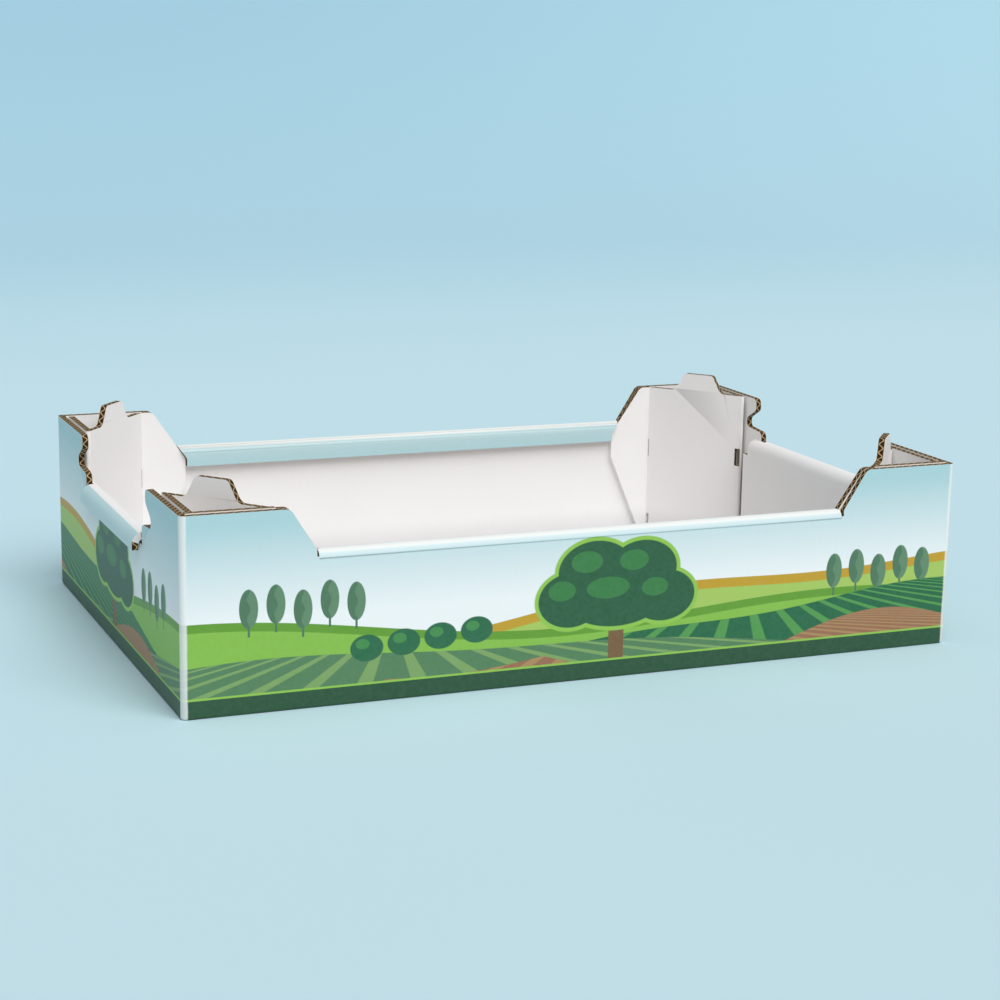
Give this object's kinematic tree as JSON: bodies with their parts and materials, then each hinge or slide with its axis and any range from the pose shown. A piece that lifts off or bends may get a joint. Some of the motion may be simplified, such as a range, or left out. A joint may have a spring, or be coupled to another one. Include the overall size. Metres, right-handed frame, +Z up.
{
  "type": "cardboard tray box",
  "caption": "Open-topped folded corrugated cardboard tray box with raised triangular corner posts, stacking tabs and turned-over wall edges.",
  "frame": {"origin": "middle of the bounding box at the tray's underside", "axes": "+Z up; +X along the long walls; +Y towards the back long wall"},
  "size_m": [0.609, 0.397, 0.1555],
  "materials": {
    "board": "white-lined corrugated board, printed outside"
  },
  "bodies": {
    "root": {"tray": "board"}
  },
  "joints": []
}
